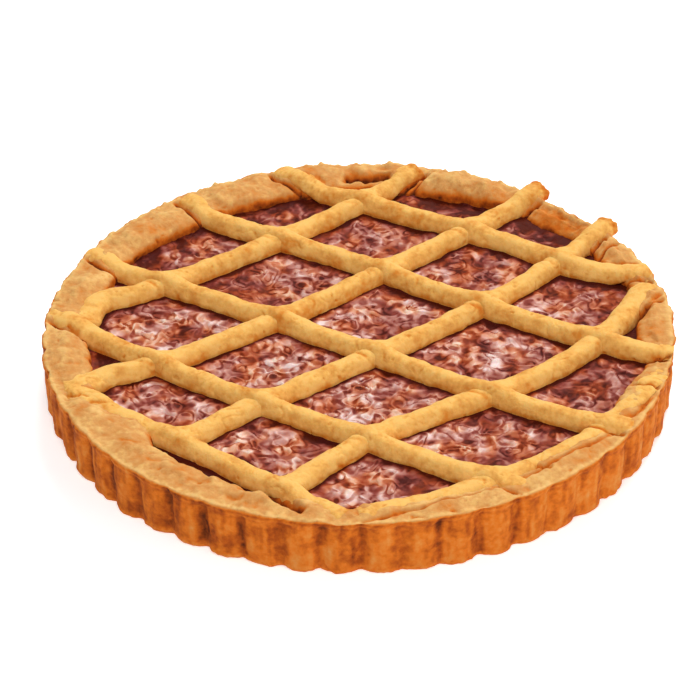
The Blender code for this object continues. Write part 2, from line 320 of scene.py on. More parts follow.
def fluteValley(angle, height):
    # how far the side is drawn in: broad lobes with narrow valleys that wander a little, as pressed by a tin
    share = (angle - math.radians(shell["fluteStart"])) * shell["flutes"] / math.tau
    number = math.floor(share + 0.5)
    share += 0.05 * math.sin(number * 12.9) + 0.02 * math.sin(number * 7.3 + height * 0.25)
    depth = shell["fluteDepth"] * (1 + 0.18 * math.sin(number * 4.7))
    wave = math.cos(math.pi * share) ** 2
    return depth * (0.45 * wave + 0.55 * wave ** 4)


# creases and pits in the rim: clock angle and radius of both ends, width and depth
rimMarks = [
    dict(start=(-106.0, 116.4), end=(-101.2, 121.2), width=1.9, depth=4.2),
    dict(start=(-123.4, 120.5), end=(-120.6, 118.3), width=1.6, depth=0.8),
    dict(start=(-133.0, 120.5), end=(-131.6, 117.3), width=1.4, depth=0.6),
    dict(start=(-141.0, 119.0), end=(-138.6, 116.6), width=1.3, depth=0.6),
    dict(start=(-114.5, 122.5), end=(-112.2, 120.6), width=1.3, depth=0.6),
    dict(start=(-81.0, 126.0), end=(-78.5, 128.6), width=0.9, depth=1.2),
    dict(start=(-73.7, 126.6), end=(-72.0, 129.0), width=0.9, depth=1.2),
    dict(start=(-69.2, 127.0), end=(-65.5, 128.6), width=0.9, depth=1.1),
    dict(start=(-54.5, 112.5), end=(-52.0, 119.7), width=1.0, depth=1.3),
    dict(start=(-41.9, 121.0), end=(-34.6, 123.5), width=1.0, depth=0.9),
    dict(start=(-20.2, 117.5), end=(-19.0, 127.5), width=1.1, depth=2.0),
    dict(start=(5.7, 117.9), end=(8.2, 122.4), width=1.3, depth=2.8),
    dict(start=(8.2, 122.4), end=(9.6, 129.0), width=1.2, depth=2.6),
    dict(start=(-9.2, 120.0), end=(-8.2, 129.3), width=1.1, depth=2.4),
    dict(start=(24.5, 118.5), end=(21.5, 127.5), width=0.9, depth=0.9),
    dict(start=(27.5, 114.2), end=(30.0, 128.0), width=1.0, depth=2.2),
    dict(start=(91.2, 116.9), end=(84.0, 118.6), width=2.7, depth=5.0),
    dict(start=(77.5, 113.5), end=(75.5, 122.5), width=1.1, depth=2.0),
    dict(start=(100.5, 120.5), end=(97.0, 114.5), width=1.1, depth=0.9),
    dict(start=(177.5, 119.4), end=(-179.7, 114.3), width=1.2, depth=1.4),
    dict(start=(-169.9, 123.7), end=(-169.3, 115.6), width=1.2, depth=0.35),
    dict(start=(-175.4, 122.0), end=(-174.6, 117.5), width=1.1, depth=0.25),
    dict(start=(-160.4, 124.6), end=(-158.1, 118.0), width=1.3, depth=0.8),
    dict(start=(-156.0, 117.6), end=(-154.8, 113.4), width=1.2, depth=0.8),
]

# pillows where the dough was pushed up: clock angle, radius, size and height
rimPillows = [
    dict(at=(163.2, 119.5), size=9.0, height=1.0),
    dict(at=(-174.8, 119.5), size=9.0, height=0.9),
    dict(at=(-151.7, 119.0), size=8.0, height=0.8),
    dict(at=(-139.3, 117.5), size=9.0, height=1.1),
    dict(at=(-133.0, 112.5), size=3.6, height=1.1),
    dict(at=(-127.4, 116.5), size=5.0, height=1.5),
    dict(at=(-119.6, 116.0), size=3.4, height=1.5),
    dict(at=(-108.4, 118.0), size=4.2, height=2.4),
    dict(at=(116.9, 118.5), size=9.0, height=0.9),
    dict(at=(99.5, 121.9), size=8.0, height=0.8),
    dict(at=(69.5, 125.0), size=7.5, height=2.7),
    dict(at=(61.5, 122.0), size=7.0, height=1.2),
    dict(at=(45.7, 121.8), size=7.0, height=0.8),
    dict(at=(22.5, 123.0), size=7.0, height=0.7),
    dict(at=(-14.6, 121.6), size=9.0, height=0.9),
    dict(at=(-39.8, 118.5), size=8.0, height=0.8),
    dict(at=(-56.4, 119.0), size=8.0, height=0.7),
]
for pillow in rimPillows:
    pillow["spot"] = atClock(*pillow["at"])
for mark in rimMarks:
    mark["line"] = (atClock(*mark["start"]), atClock(*mark["end"]))


def markDepth(point):
    # how deep the rim's creases cut here; their edges wander as torn dough does
    spot = Vector((point[0] + 0.9 * lumps(point, 3.5, 61), point[1] + 0.9 * lumps(point, 3.5, 63)))
    depth = 0.0
    for mark in rimMarks:
        start, end = mark["line"]
        along = end - start
        offset = spot - start
        share = clamp(offset.dot(along) / along.length_squared)
        apart = (offset - along * share).length
        if apart < 3 * mark["width"]:
            depth = max(depth, mark["depth"] * bump(apart, mark["width"]))
    return depth


def pillowHeight(point):
    # how far the dough was pushed up here
    spot = Vector((point[0], point[1]))
    return sum(
        pillow["height"] * bump((spot - pillow["spot"]).length, pillow["size"]) for pillow in rimPillows
    )


def shellSection(angle):
    # the shell's outline at one angle, corner by corner: radius and height
    outer, inner, top = rimOuter(angle), rimInner(angle), rimHeight(angle)
    low, mid, high = (fluteValley(angle, height) for height in (2, 12, 22))
    base = shell["baseRadius"]
    return [
        # underside and foot
        (base - 16.0 - low, 0.0),
        (base - 3.0 - low, 0.0),
        (base - 0.9 - low, 0.15),
        (base - low, 1.3),
        # fluted side
        (mix(base, outer, 0.35) - mid, 8.0),
        (mix(base, outer, 0.7) - mid, 15.5),
        (outer - 0.7 - 0.95 * high, 21.2),
        # lip
        (outer - 0.2 - 0.55 * high, 23.3),
        (outer - 0.5 - 0.4 * high, 24.9),
        (outer - 2.2 - 0.1 * high, 25.3 + 0.4 * (top - 25.4)),
        # the rim's back
        (outer - 5.5, top - 0.3),
        (mix(outer, inner, 0.55), top + 0.3),
        (inner + 3.6, top - 0.8),
        # inner face, and the floor that the jam hides
        (inner + 1.3, top - 2.2),
        (inner + 0.1, top - 4.0),
        (inner - 0.4, jam["level"] - 1.5),
        (inner - 1.5, jam["level"] - 5.0),
        (inner - 9.0, jam["level"] - 5.5),
    ]


# rows of the mesh from each of these corners to the next
shellRows = (2, 2, 2, 8, 9, 8, 4, 3, 3, 4, 8, 8, 3, 3, 3, 2, 2)


def crustTop(angle, radius):
    # height of the crust at a radius, from the lip to the inner face
    corners = shellSection(angle)[8:15]
    for (far, high), (near, low) in zip(corners, corners[1:]):
        if radius > near:
            return mix(high, low, clamp((far - radius) / (far - near)))
    return corners[-1][1]


def stripHeights(strip, k):
    # underside, back, how far it is on the rim and how near a crossing is, at one point of the track
    track = strip["track"]
    place, along = track["points"][k], track["run"][k]
    angle = math.atan2(place.y, place.x)
    inner = rimInner(angle)
    onRim = smooth(inner - 3, inner + 6, place.length)
    end = 0 if along < track["length"] / 2 else 1
    toEnd = min(along, track["length"] - along)
    kind, rise = strip["ends"][end], strip["rise"][end]
    rise = mix(lattice["tipRise"].get(kind, rise), rise, smooth(-1, 9, toEnd))
    rim = crustTop(angle, min(place.length, lattice["restsTo"][kind]))
    underside = jam["level"] + jam["swell"] + 0.3
    ridge = underside + lattice["thickness"]
    near = max((bump(along - spot, lattice["crossingReach"]) for spot in strip["crossings"]), default=0)
    lift = lattice["crossingRise"] * near if strip["over"] else -lattice["crossingDip"] * near * near
    low = mix(underside - lattice["sunkInJam"], rim - lattice["sunkInRim"], onRim)
    high = mix(ridge, rim + rise, onRim) + lift * (1 - 0.6 * onRim)
    return low, high, onRim, near


for strip in strips:
    # evened out along the strip, as a soft roll of dough bends
    raw = [stripHeights(strip, k) for k in range(len(strip["track"]["points"]))]
    strip["heights"] = []
    for k in range(len(raw)):
        beside = raw[max(0, k - 7):k + 8]
        strip["heights"].append([sum(values) / len(beside) for values in zip(*beside)])


# How a strip marks the dough under it. The strips were pressed on from the front left, so that side is
# undercut by a crease and the other runs out in an apron. The pairs are millimetres from the strip's edge.
pressing = dict(
    near=18.0, drag=0.8, apron=(-3.0, 5.0), cover=(1.5, 4.0), clear=(-2.0, 4.0), front=(-2.0, 8.0),
    width=1.2, depth=0.68, seamDepth=1.0,  # of the crease
    joined=0.45, step=(1.8, 0.6),  # how far the undercut side has grown together, and the step left there
    slumpAt=3.0, slumpReach=4.5,
)


def pressedAgainst(point, upper):
    # how much the strips on top drag this surface up with them, how deep a crease they leave, and how clear
    # of them the surface is
    lift, crease, clear = 0.0, 0.0, 1.0
    for strip in upper:
        track = strip["track"]
        apart = offTrack(track, point)
        if apart > pressing["near"]:
            continue
        along, left, k = besideTrack(track, point)
        high, onRim = strip["heights"][k][1:3]
        half = halfWidth(strip, along)
        fromEnd = track["length"] - along
        toEnd = min(along, fromEnd)
        inside = smooth(-3, 5, toEnd)
        clear = min(clear, smooth(*pressing["clear"], apart - half))
        apron = 1 - smooth(*pressing["apron"], left - half)
        cover = smooth(*pressing["cover"], left + half)
        lift = max(lift, (high - 0.5 - point[2]) * pressing["drag"] * apron * cover * inside)
        front = 1 - smooth(*pressing["front"], -left - half)
        # here and there the undercut side has closed up instead
        shut = smooth(0.0, 0.5, lumps((point[0], point[1], 7.0), 26, 71)) * (1 - onRim)
        wide, deep, joined = pressing["width"], pressing["depth"], pressing["joined"] * (1 - onRim)
        if "seam" in strip:
            seam = strip["seam"]
            opened = smooth(-5, 5, along - seam["starts"]) * smooth(-4, 4, fromEnd - seam["stops"])
            shut, wide, deep = mix(*seam["shut"], opened), mix(*seam["wide"], opened), pressing["seamDepth"]
            merged = 1 - smooth(-26, 3, along - seam["starts"])
            merged = max(merged, 1 - smooth(-6, 2, fromEnd - seam["stops"]))
            joined = max(joined, merged * min(1.0, seam["shut"][0]))
            slump = bump(left + half + pressing["slumpAt"], pressing["slumpReach"])
            lift -= seam["slump"] * opened * slump * inside
        level = high - mix(*pressing["step"], joined) - point[2]
        lift = max(lift, level * joined * front * (left < 0) * inside)
        stray = 0.7 * lumps((point[0], point[1], 3.0), 7, 75)
        gap = left + half + 0.75 * wide + stray
        crease = max(crease, deep * bump(gap, wide) * smooth(-1.5, 0.5, toEnd) * (1 - 0.8 * shut))
    return lift, crease, clear


def paintHollowShade(bm, bakedAndShaded, amount):
    # painted shade: hollows of the surface are made darker, and what stands up is made a little paler as
    # painted light
    hollow = {}
    for vert in bm.verts:
        middle = sum((edge.other_vert(vert).co for edge in vert.link_edges), Vector()) / len(vert.link_edges)
        hollow[vert] = (middle - vert.co).dot(vert.normal)
    for vert in bm.verts:
        spread = sum(hollow[edge.other_vert(vert)] for edge in vert.link_edges) / len(vert.link_edges)
        vert[bakedAndShaded] = clamp(vert[bakedAndShaded] + amount * max(-0.06, (hollow[vert] + spread) / 2))


def curveWeights(spans):
    # Catmull-Rom weights that turn the section's corners into evenly spaced rows
    rows = []
    last = len(spans)
    for k, count in enumerate(spans):
        for step in range(count + (k == last - 1)):
            t = step / count
            weights = {}
            pull = (
                (k - 1, 0.5 * (-t + 2 * t * t - t ** 3)),
                (k, 0.5 * (2 - 5 * t * t + 3 * t ** 3)),
                (k + 1, 0.5 * (t + 4 * t * t - 3 * t ** 3)),
                (k + 2, 0.5 * (-t * t + t ** 3)),
            )
            for corner, weight in pull:
                corner = min(last, max(0, corner))
                weights[corner] = weights.get(corner, 0) + weight
            rows.append((k + t, weights))
    return rows


def meshPiece(name, bm, material, nodes):
    bmesh.ops.scale(bm, vec=(mm, mm, mm), verts=bm.verts)
    mesh = bpy.data.meshes.new(name)
    bm.to_mesh(mesh)
    bm.free()
    mesh.shade_smooth()
    mesh.materials.append(material)
    piece = bpy.data.objects.new(name, mesh)
    bpy.context.scene.collection.objects.link(piece)
    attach(piece, "root")
    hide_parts(*nodes)
    print(f"{name}: {sum(len(p.vertices) - 2 for p in mesh.polygons)} triangles")


def closeRolled(bm, seam):
    # joins the two long edges of a rolled sheet and closes what is still open
    bmesh.ops.remove_doubles(bm, verts=seam, dist=0.002)
    rims = [edge for edge in bm.edges if edge.is_boundary]
    bmesh.ops.holes_fill(bm, edges=rims, sides=0)
    bmesh.ops.recalc_face_normals(bm, faces=bm.faces)
    bm.normal_update()


def crustPits(point):
    return smooth(0.7, 1.1, lumps(point, 3.2, 21)) * shell["pitDepth"]


def crustRelief(point, place, clear, onSide):
    # how far the crust stands out: lumps and pits on top, fine upright streaks on the side, a wavy lip, and
    # crumbs at the back
    crumbs = shell["crumbHeight"] * smooth(0.1, 0.9, lumps(point, 3.2, 18))
    crumbs *= 1 - 0.85 * smooth(8.8, 9.8, place)
    crumbs += layered(point, shell["backLumps"])
    crumbs *= clear * smooth(-10, 70, point.y) * band(*shell["crumbBand"], place)
    streak = shell["streakHeight"] * lumps((point.x, point.y, point.z * 0.2), 2.2, 13) - 0.2
    lip = layered(point, shell["lip"]) * bump(place - shell["lipAt"], 0.7)
    uneven = layered(point, shell["uneven"]) + crumbs - crustPits(point)
    return uneven * (1 - 0.75 * onSide) + streak * onSide + lip


# the crust's browning, with painted shade and a painted highlight mixed in
def crustBrowningAndShade(point, place, crease, onTop, onSide):
    darkening = shell["browningAndShade"]
    angle = math.atan2(point.y, point.x)
    toRight, toBack = smooth(20, 90, point.x), smooth(20, 110, point.y)
    valley = fluteValley(angle, point.z) / shell["fluteDepth"]
    # painted shade in the flute valleys, less of it on the right where the light falls
    side = layered(point, shell["sidePatches"]) + darkening["valley"] * valley * (1 - 0.5 * toRight)
    side += darkening["streak"] * lumps((point.x, point.y, point.z * 0.15), 2.4, 12)
    # painted shade on the left of the side, away from the light
    side += darkening["left"] * smooth(10, 60, -point.x)
    high = smooth(11, 21, point.z) * (1 - valley)
    side += darkening["highSpots"] * high * smooth(0.0, 0.7, lumps(point, 5, 14))
    top = layered(point, shell["patches"]) + byAngle(angle, shell["browned"])
    # creases darker partly from browning and partly as painted shade; pits and the back painted darker as
    # shade
    top += darkening["crease"] * crease + darkening["pit"] * crustPits(point) + darkening["back"] * toBack
    top += darkening["right"] * smooth(80, 110, point.x) * (1 - smooth(40, 70, point.y))
    dark = mix(darkening["side"], darkening["top"], smooth(7.9, 8.9, place))
    # a painted highlight along the lip, and painted shade just under it
    dark += darkening["lip"] * bump(place - 8.8, 0.5) + darkening["underLip"] * bump(place - 7.6, 0.3)
    dark += darkening["innerFace"] * smooth(12.6, 14.5, place)
    # painted shade on the inner face at the back
    dark += darkening["innerBack"] * toBack * smooth(10.8, 13.2, place)
    return clamp(dark + side * onSide + top * onTop)


def buildShell(material):
    columns = shell["flutes"] * shell["columnsPerFlute"]
    rows = curveWeights(shellRows)
    bm = bmesh.new()
    bmesh.ops.create_grid(bm, x_segments=columns, y_segments=len(rows) - 1, size=1)
    bakedAndShaded = bm.verts.layers.float.new("bakedAndShaded")
    sections = [shellSection(math.tau * column / columns) for column in range(columns)]
    places = {}
    seam = []
    for vert in bm.verts:
        column = round((vert.co.x + 1) / 2 * columns)
        row = round((vert.co.y + 1) / 2 * (len(rows) - 1))
        if column in (0, columns):
            seam.append(vert)
        section = sections[column % columns]
        places[vert], weights = rows[row]
        radius = sum(section[corner][0] * weight for corner, weight in weights.items())
        height = sum(section[corner][1] * weight for corner, weight in weights.items())
        angle = math.tau * (column % columns) / columns
        vert.co = (math.cos(angle) * radius, math.sin(angle) * radius, height)
    closeRolled(bm, seam)
    for vert in bm.verts:
        place = places[vert]
        point = vert.co.copy()
        onTop = band(*shell["topBand"], place)
        onSide = band(*shell["sideBand"], place)
        lift, crease, clear = 0.0, 0.0, 1.0
        if onTop > 0:
            lift, crease, clear = pressedAgainst(point, strips)
            marked = markDepth(point)
            lift += pillowHeight(point) * clear - shell["creaseDepth"] * crease - marked
            crease = max(crease, min(1, marked / 3.5))
        vert.co.z += lift * onTop
        if shell["reliefFrom"] < place < shell["reliefTo"]:
            vert.co += vert.normal * crustRelief(point, place, clear, onSide)
        vert[bakedAndShaded] = crustBrowningAndShade(point, place, crease, onTop, onSide)
        vert.co.z = max(0.0, vert.co.z)
    bm.normal_update()
    # painted shade in the crust's hollows
    paintHollowShade(bm, bakedAndShaded, 1.0)
    meshPiece("crustShell", bm, material, ["crust_shell"])


# width and height of a strip near its end, as shares of the full ones: distance, width, height
roundEnd = ((0.0, 0.62, 0.45), (0.35, 0.78, 0.7), (0.9, 0.9, 0.88), (1.8, 0.97, 0.97), (3.2, 1.0, 1.0))
squareEnd = ((0.0, 0.84, 0.72), (0.35, 0.93, 0.86), (0.9, 0.98, 0.95), (1.8, 1.0, 0.99), (3.2, 1.0, 1.0))
endRings = [0.0, 0.35, 0.8, 1.3]  # rings of the mesh close to the end


def endTaper(shape, distance):
    for (near, wide, tall), (far, wider, taller) in zip(shape, shape[1:]):
        if distance < far:
            share = (distance - near) / (far - near)
            return mix(wide, wider, share), mix(tall, taller, share)
    return 1.0, 1.0


def stripRelief(point, torn):
    # rolled dough: soft unevenness, a few pits and hairline grooves, and torn crumbs on a cut end
    pits = 0.3 * smooth(0.8, 1.1, lumps(point, 3.0, 37))
    grooves = 0.25 * smooth(0.3, 0.0, abs(lumps(point, 6.0, 39))) * smooth(0.3, 0.7, lumps(point, 10.0, 41))
    return layered(point, lattice["relief"]) + layered(point, lattice["torn"]) * torn - pits - grooves


def buildStrip(strip, material):
    length = strip["track"]["length"]
    first, around, topShare = endRings[-1], lattice["around"], lattice["topShare"]
    count = round((length - 2 * first) / lattice["spacing"])
    middle = [first + (length - 2 * first) * k / count for k in range(1, count)]
    stations = endRings + middle + [length - along for along in reversed(endRings)]
    bm = bmesh.new()
    bmesh.ops.create_grid(bm, x_segments=len(stations) - 1, y_segments=around, size=1)
    bakedAndShaded = bm.verts.layers.float.new("bakedAndShaded")
    frames = []
    for along in stations:
        place, ahead = trackAt(strip["track"], along)
        k = besideTrack(strip["track"], place)[2]
        shape = roundEnd if strip["ends"][along > length / 2] == "pressed" else squareEnd
        taper = endTaper(shape, min(along, length - along))
        frames.append((place, Vector((-ahead.y, ahead.x)), strip["heights"][k], taper))
    seam = []
    facts = {}
    for vert in bm.verts:
        k = round((vert.co.x + 1) / 2 * (len(stations) - 1))
        j = round((vert.co.y + 1) / 2 * around)
        if j in (0, around):
            seam.append(vert)
        place, aside, (low, high, onRim, crossing), (wide, tall) = frames[k]
        uneven = 1 + 0.09 * lumps((place.x, place.y, 3.0), 22) + 0.06 * lumps((place.x, place.y, 9.0), 8)
        half = halfWidth(strip, stations[k]) * wide * uneven
        share = (j % around) / around
        if share <= topShare:  # the rounded back, and after it the flat underside
            turn = math.pi * share / topShare
            across = math.copysign(abs(math.cos(turn)) ** 0.9, math.cos(turn))
            up = math.sin(turn) ** 0.78
        else:
            across = mix(-1, 1, (share - topShare) / (1 - topShare))
            up = 0.0
        spot = place + aside * (half * across + 0.35 * lumps((place.x, place.y, 17.0), 14))
        vert.co = (spot.x, spot.y, low + (high - low) * tall * up)
        facts[vert] = (stations[k], across, up, onRim, crossing)
    closeRolled(bm, seam)
    upper = [] if strip["over"] else [other for other in strips if other["over"]]
    for vert in bm.verts:
        along, across, up, onRim, crossing = facts[vert]
        point = vert.co.copy()
        kind = strip["ends"][along > length / 2]
        toEnd = min(along, length - along)
        lift, crease = pressedAgainst(point, upper)[:2] if up > 0.3 else (0.0, 0.0)
        marked = markDepth(point) * onRim if onRim > 0.05 and up > 0.1 else 0.0
        vert.co.z += (lift - mix(*lattice["creaseDepth"], onRim) * crease - marked) * smooth(0.3, 0.7, up)
        if up > 0.01:
            vert.co += vert.normal * stripRelief(point, bump(toEnd, 4.5) if kind == "cut" else 0.0)
        if kind != "cut":
            # the end stays on the rim, and what lies below the lip stays inside the fluted side
            angle = math.atan2(vert.co.y, vert.co.x)
            edge = rimOuter(angle) - lattice["insideEdge"][kind]
            edge -= lattice["underLip"] * smooth(0.0, 1.4, rimHeight(angle) - vert.co.z)
            vert.co.xy *= min(1.0, edge / max(1.0, vert.co.xy.length))
        darkening = lattice["browningAndShade"]
        # browning with painted shade mixed in: the front side is painted darker as shade
        dark = darkening["top"] + layered(point, lattice["patches"]) + darkening["side"] * smooth(-0.2, 1.0, -across)
        # the underside painted darker as shade; creases darker partly from browning, partly as painted shade
        dark += darkening["underside"] * (1 - smooth(0.0, 0.5, up)) + mix(*darkening["crease"], onRim) * crease
        # rim marks darker partly as painted shade, and the back painted darker as shade
        dark += darkening["marks"] * min(1, marked / 2.5) + darkening["back"] * smooth(60, 125, point.y)
        if strip["over"]:
            dark += darkening["crossing"] * crossing * smooth(-0.9, 0.6, lumps(point, 7, 45))
        # where the jam touched it: partly its stain, partly a painted contact shadow
        dark += darkening["jamLine"] * bump(point.z - jam["level"] - 0.2, 1.0)
        dark += darkening["tip"][kind] * bump(toEnd, 3.5)
        vert[bakedAndShaded] = clamp(dark)
    bm.normal_update()
    # painted shade in the strip's hollows
    paintHollowShade(bm, bakedAndShaded, 2.4)
    level, number = strip["name"].split("_")
    nodes = ["lattice_" + strip["name"]]
    meshPiece("strip" + level.capitalize() + number, bm, material, nodes)


def jamFolds(x, y):
    # Cooked jam lies in ribbons of pulp a few millimetres wide, folded over each other. They follow the
    # contour lines of a smooth field, whole numbers of which are the ribbons' backs.
    spot = Vector((x, y, 0)) + Vector((lumps((x, y, 1.0), 6, 51), lumps((x, y, 5.0), 6, 53), 0)) * 1.6
    return layered(spot, jam["folds"])


def besideStrips(point):
    # how open the jam lies here, and how far it lies in the painted shadow of a strip or the rim
    reaches = jam["shadowReach"]
    bare = 1.0
    shadowed = 0.0
    for strip in strips:
        apart = offTrack(strip["track"], point)
        if apart > 16:  # further away than any strip's lee
            continue
        along, left = besideTrack(strip["track"], point)[:2]
        beyond = apart - halfWidth(strip, along)
        # close to a strip the pulp is cut back, painting a contact shadow along its edges
        bare = min(bare, smooth(-0.5, 1.6, beyond))
        # on a strip's shaded side its shadow is painted into the jam, deepest in the groove beside a seam
        if left < 0:
            shadowed = max(shadowed, 1 - smooth(0.5, reaches["over" if strip["over"] else "under"], beyond))
            if "seam" in strip:
                shadowed = max(shadowed, 1.6 * (1 - smooth(2.0, reaches["seam"], beyond)))
    # the rim's painted shadow, at the back
    beyond = rimInner(math.atan2(point[1], point[0])) - math.hypot(point[0], point[1])
    shadowed = max(shadowed, 0.85 * (1 - smooth(0.5, reaches["rim"], beyond)) * smooth(20, 80, point[1]))
    # the shadowed pockets are painted dark as well
    for x, y, reach in jam["shadowedSpots"]:
        shadowed = max(shadowed, 1.4 * bump(math.hypot(point[0] - x, point[1] - y), reach))
    return bare, shadowed


def buildJam(material):
    darker = jam["darker"]
    bm = bmesh.new()
    bmesh.ops.create_grid(bm, x_segments=jam["cells"], y_segments=jam["cells"], size=1)
    folds = bm.verts.layers.float.new("folds")
    pulp = bm.verts.layers.float.new("pulp")
    for vert in bm.verts:
        # the square grid is pressed into a round that fills the shell
        across, back = vert.co.x, vert.co.y
        x = across * math.sqrt(1 - back * back / 2)
        y = back * math.sqrt(1 - across * across / 2)
        radius = rimInner(math.atan2(y, x)) + jam["reach"]
        x *= radius
        y *= radius
        toBack, toRight, toFront = smooth(10, 100, y), smooth(50, 110, x), smooth(60, 105, -y)
        vert[folds] = jamFolds(x, y)
        ribbon = smooth(-1.0, 0.9, math.cos(math.tau * vert[folds]))
        whole = smooth(-0.6, 0.0, lumps((x, y, 3.0), 5, 56))
        # less pulp towards the back and right, which paints the jam darker there as shade
        plenty = smooth(-0.7, 0.1, lumps((x, y, 8.0), 15, 62)) * (1 - 0.45 * toBack - 0.4 * toRight)
        swell = 0.4 * lumps((x, y, 0), 15, 59) + 0.3 * lumps((x, y, 4.0), 5, 60)
        bare, shadowed = besideStrips((x, y))
        amount = mix(*jam["plenty"], plenty) * mix(*jam["whole"], whole) * mix(*jam["open"], bare)
        # the pulp thins in the painted shadows, which makes the jam darker there as well
        amount *= 1 - jam["thinned"] * shadowed
        height = jam["ribbonHeight"] * ribbon * amount - jam["ribbonFoot"] + swell
        vert.co = (x, y, jam["level"] + height)
        # painted shade towards the back and right and in the shadows, and darker towards the front
        shade = darker["back"] * toBack + darker["right"] * toRight + darker["front"] * toFront
        shade += darker["shadowed"] * shadowed
        # the pulp attribute carries this painted shade too
        vert[pulp] = amount * (1 + 0.35 * lumps((x, y, 2.0), 4, 64)) + 0.1 * swell - shade
    edges = [edge for edge in bm.edges if edge.is_boundary]
    made = bmesh.ops.extrude_edge_only(bm, edges=edges)["geom"]
    for vert in [item for item in made if isinstance(item, bmesh.types.BMVert)]:
        vert.co.z = jam["hiddenLevel"]
        vert.co.xy *= 0.985
    rims = [edge for edge in bm.edges if edge.is_boundary]
    bmesh.ops.holes_fill(bm, edges=rims, sides=0)
    bmesh.ops.recalc_face_normals(bm, faces=bm.faces)
    # sorted, because the extrusion makes its faces in another order each run
    bm.verts.index_update()
    corners = {face: sorted(vert.index for vert in face.verts) for face in bm.faces}
    bm.faces.sort(key=lambda face: corners[face][0] * len(bm.verts) + corners[face][-1])
    meshPiece("jamFilling", bm, material, ["jam_filling"])


def linear(code):
    # an sRGB hex colour, made linear
    parts = [int(code[k:k + 2], 16) / 255 for k in (0, 2, 4)]
    return [c / 12.92 if c <= 0.04045 else ((c + 0.055) / 1.055) ** 2.4 for c in parts] + [1.0]


def addNode(tree, kind, links=None, values=None, stops=(), **settings):
    # one node with its settings, its own numbers, links from other nodes' outputs, and a ramp's colours
    node = tree.nodes.new(kind)
    for key, value in settings.items():
        setattr(node, key, value)
    for key, value in (values or {}).items():
        node.inputs[key].default_value = value
    for key, output in (links or {}).items():
        tree.links.new(output, node.inputs[key])
    if stops:
        ramp = node.color_ramp.elements
        while len(ramp) < len(stops):
            ramp.new(0.5)
        for element, (place, code) in zip(ramp, stops):
            element.position = place
            element.color = linear(code)
    return node


def newMaterial(name):
    material = bpy.data.materials.new(name)
    material.use_nodes = True
    material.node_tree.nodes.clear()
    return material, material.node_tree


def layPatterns(tree, place, shade, patterns, roughness):
    # patches of noise that raise and lower a shade: size in mm, detail and amount of each
    for size, detail, amount in patterns:
        patch = addNode(tree, "ShaderNodeTexNoise", {"Vector": place},
                        {"Scale": 1 / (size * mm), "Detail": detail, "Roughness": roughness})
        evened = addNode(tree, "ShaderNodeMath", {0: patch.outputs["Fac"]}, {1: 0.5}, operation="SUBTRACT")
        shade = addNode(tree, "ShaderNodeMath", {0: evened.outputs[0], 2: shade}, {1: amount},
                        operation="MULTIPLY_ADD").outputs[0]
    return shade


# Widths in mm. The real crumb of shortcrust is about 0.5 mm wide; it is drawn at 1 mm, and the browned specks
# at 2.2 mm, so that they show.
shellDough = dict(
    patterns=((9.0, 3.0, 0.46), (2.2, 2.0, 0.38)), crumb=1.0, crumbRelief=0.6, roughness=0.8,
    colours=(
        (0.0, "E2B673"), (0.12, "DAA965"), (0.22, "D19A5A"), (0.34, "CB8C4C"), (0.48, "CB7C34"),
        (0.62, "C86A1C"), (0.8, "A04A12"), (1.0, "54220A"),
    ),
)
stripDough = dict(
    patterns=((9.0, 3.0, 0.46), (2.2, 2.0, 0.42)), crumb=1.0, crumbRelief=0.6, roughness=0.78,
    colours=(
        (0.0, "EAB968"), (0.12, "E5AD5A"), (0.22, "DB9F50"), (0.34, "D48C3A"), (0.48, "CC7A2A"),
        (0.62, "C26418"), (0.8, "9A4612"), (1.0, "54220A"),
    ),
)


def bakedShortcrust(name, settings):
    # Butter shortcrust, pressed by hand and baked: matt, with a fine crumb, golden where it stayed pale and
    # orange brown where the tin and the oven browned it. A little light gets into its surface.
    # the darkening it reads holds painted shade and a painted highlight besides the oven's browning
    material, tree = newMaterial(name)
    place = addNode(tree, "ShaderNodeTexCoord").outputs["Object"]
    darkening = addNode(tree, "ShaderNodeAttribute", attribute_name="bakedAndShaded").outputs["Fac"]
    darkening = layPatterns(tree, place, darkening, settings["patterns"], 0.6)
    colour = addNode(tree, "ShaderNodeValToRGB", {"Fac": darkening}, stops=settings["colours"])
    crumb = addNode(tree, "ShaderNodeTexNoise", {"Vector": place},
                    {"Scale": 1 / (settings["crumb"] * mm), "Detail": 3.0, "Roughness": 0.65})
    relief = addNode(tree, "ShaderNodeBump", {"Height": crumb.outputs["Fac"]},
                     {"Strength": 0.6, "Distance": settings["crumbRelief"] * mm})
    shader = addNode(
        tree, "ShaderNodeBsdfPrincipled",
        {"Base Color": colour.outputs["Color"], "Normal": relief.outputs["Normal"]},
        {"Roughness": settings["roughness"], "IOR": 1.45, "Specular IOR Level": 0.1, "Subsurface Weight": 0.2,
         "Subsurface Radius": (1.0, 0.45, 0.2), "Subsurface Scale": 1.6 * mm},
    )
    addNode(tree, "ShaderNodeOutputMaterial", {"Surface": shader.outputs["BSDF"]})
    return material


# Widths in mm. The pulp's ribbons and shreds are drawn about as wide as they show, and its grain, which is
# finer than that in real jam, at 1.4 mm.
apricotJam = dict(
    stray=4.0, shreds=4.6, spots=10.0, patterns=((7.0, 2.0, 0.4), (1.4, 1.0, 0.08)),
    heaped=0.36, pulp=0.1, relief=0.6,
    # the palest colours are partly the pulp's own and partly painted highlight on the ribbons' backs
    colours=((0.0, "4A1814"), (0.13, "843C34"), (0.34, "B07468"), (0.6, "D0A69E"), (0.9, "E2CCCA")),
    amber=((0.0, "4E180C"), (0.14, "923C20"), (0.36, "BE6C48"), (0.62, "D49C7E"), (0.92, "E4C8B4")),
)


